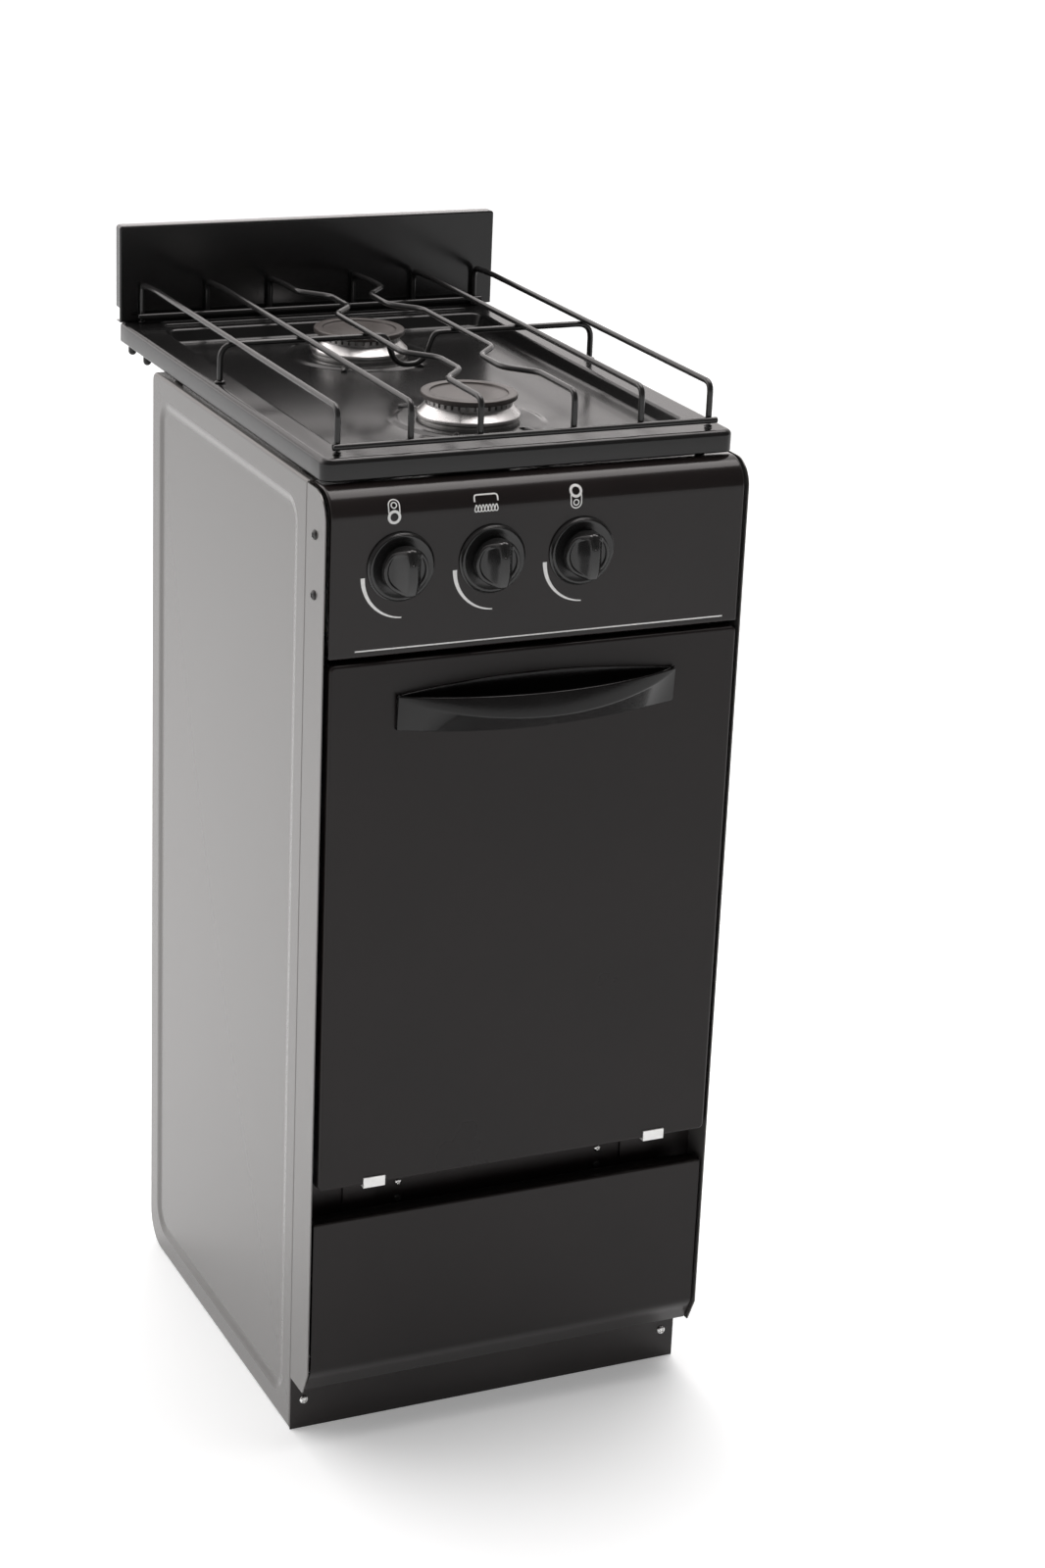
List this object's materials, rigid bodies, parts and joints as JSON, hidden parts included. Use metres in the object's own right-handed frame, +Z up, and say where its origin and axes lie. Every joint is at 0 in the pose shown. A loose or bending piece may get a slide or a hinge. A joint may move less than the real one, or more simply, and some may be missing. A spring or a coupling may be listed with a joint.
{
  "type": "freestanding gas range",
  "caption": "Narrow freestanding gas range with hob burners in line, a welded wire grate, splashback, rotary gas taps, drop-down oven door and storage drawer.",
  "frame": {"origin": "middle of the bounding box, on the floor", "axes": "+X to the right of somebody facing the range, +Y towards its back, +Z up"},
  "size_m": [0.3664, 0.556, 0.935],
  "materials": {
    "side_enamel": "gloss",
    "gloss_enamel": "gloss",
    "front_enamel": "satin",
    "black_paint": "satin",
    "galvanised_steel": "satin",
    "grey_enamel": "gloss",
    "bright_steel": "polished",
    "black_screw": "satin",
    "rubber": "matte",
    "aluminium": "satin",
    "cap_enamel": "satin",
    "grate_enamel": "gloss",
    "black_plastic": "gloss",
    "brass": "satin",
    "pipe_steel": "satin",
    "glass_wool": "matte",
    "seal_cord": "matte"
  },
  "bodies": {
    "root": {"side_panel_left": "side_enamel", "side_panel_right": "side_enamel", "post_left": "side_enamel", "post_right": "side_enamel", "back_panel": "galvanised_steel", "base_pan": "galvanised_steel", "kick_plate": "black_paint", "cross_rail_lower": "black_paint", "cross_rail_upper": "black_paint", "hob_tray": "gloss_enamel", "hob_pads": "rubber", "rim_plugs": "rubber", "splashback": "gloss_enamel", "control_panel": "front_enamel", "knob_bezels": "black_plastic", "post_screws": "black_screw", "kick_screws": "bright_steel", "rail_screws": "bright_steel", "back_screws": "bright_steel", "burner_rails": "galvanised_steel", "burner_cup_front": "aluminium", "burner_cup_rear": "aluminium", "burner_crown_front": "aluminium", "burner_crown_rear": "aluminium", "burner_cap_front": "cap_enamel", "burner_cap_rear": "cap_enamel", "gas_manifold": "pipe_steel", "gas_inlet": "brass", "gas_taps": "brass", "burner_tubes": "aluminium", "tube_oven": "aluminium", "oven_liner": "grey_enamel", "oven_floor": "grey_enamel", "oven_burner": "galvanised_steel", "rack_guides": "bright_steel", "oven_rack": "bright_steel", "insulation_jacket": "glass_wool", "flue_duct": "galvanised_steel", "hinge_brackets": "galvanised_steel", "hinge_pins": "bright_steel", "drawer_runners": "galvanised_steel"},
    "door": {"door_outer_panel": "front_enamel", "door_inner_panel": "grey_enamel", "door_insulation": "glass_wool", "door_handle": "black_plastic", "handle_screws": "bright_steel", "door_seal": "seal_cord", "hinge_arms": "bright_steel"},
    "drawer": {"drawer_front": "front_enamel", "drawer_box": "galvanised_steel"},
    "grate_rack": {"grate": "grate_enamel"},
    "push_left": {"thrust_ring_left": "brass"},
    "tap_left": {"knob_left": "black_plastic", "spindle_left": "brass"},
    "push_center": {"thrust_ring_center": "brass"},
    "tap_center": {"knob_center": "black_plastic", "spindle_center": "brass"},
    "push_right": {"thrust_ring_right": "brass"},
    "tap_right": {"knob_right": "black_plastic", "spindle_right": "brass"}
  },
  "joints": [
    {"name": "door_hinge", "type": "hinge", "parent": "root", "child": "door", "pos_m": [0, -0.225, 0.246], "axis": [1, 0, 0], "range_deg": [0, 90]},
    {"name": "drawer_slide", "type": "slide", "parent": "root", "child": "drawer", "axis": [0, -1, 0], "range_m": [0, 0.25]},
    {"name": "grate_lift", "type": "slide", "parent": "root", "child": "grate_rack", "axis": [0, 0, 1], "range_m": [0, 0.12]},
    {"name": "knob_left_push", "type": "slide", "parent": "root", "child": "push_left", "axis": [0, 1, 0], "range_m": [0, 0.003], "stiffness_N_per_m": 900, "springref_m": -0.002},
    {"name": "knob_left_turn", "type": "hinge", "parent": "push_left", "child": "tap_left", "pos_m": [-0.119, -0.253, 0.768], "axis": [0, -1, 0], "range_deg": [0, 180]},
    {"name": "knob_center_push", "type": "slide", "parent": "root", "child": "push_center", "axis": [0, 1, 0], "range_m": [0, 0.003], "stiffness_N_per_m": 900, "springref_m": -0.002},
    {"name": "knob_center_turn", "type": "hinge", "parent": "push_center", "child": "tap_center", "pos_m": [-0.0425, -0.253, 0.768], "axis": [0, -1, 0], "range_deg": [0, 180]},
    {"name": "knob_right_push", "type": "slide", "parent": "root", "child": "push_right", "axis": [0, 1, 0], "range_m": [0, 0.003], "stiffness_N_per_m": 900, "springref_m": -0.002},
    {"name": "knob_right_turn", "type": "hinge", "parent": "push_right", "child": "tap_right", "pos_m": [0.034, -0.253, 0.768], "axis": [0, -1, 0], "range_deg": [0, 180]}
  ]
}
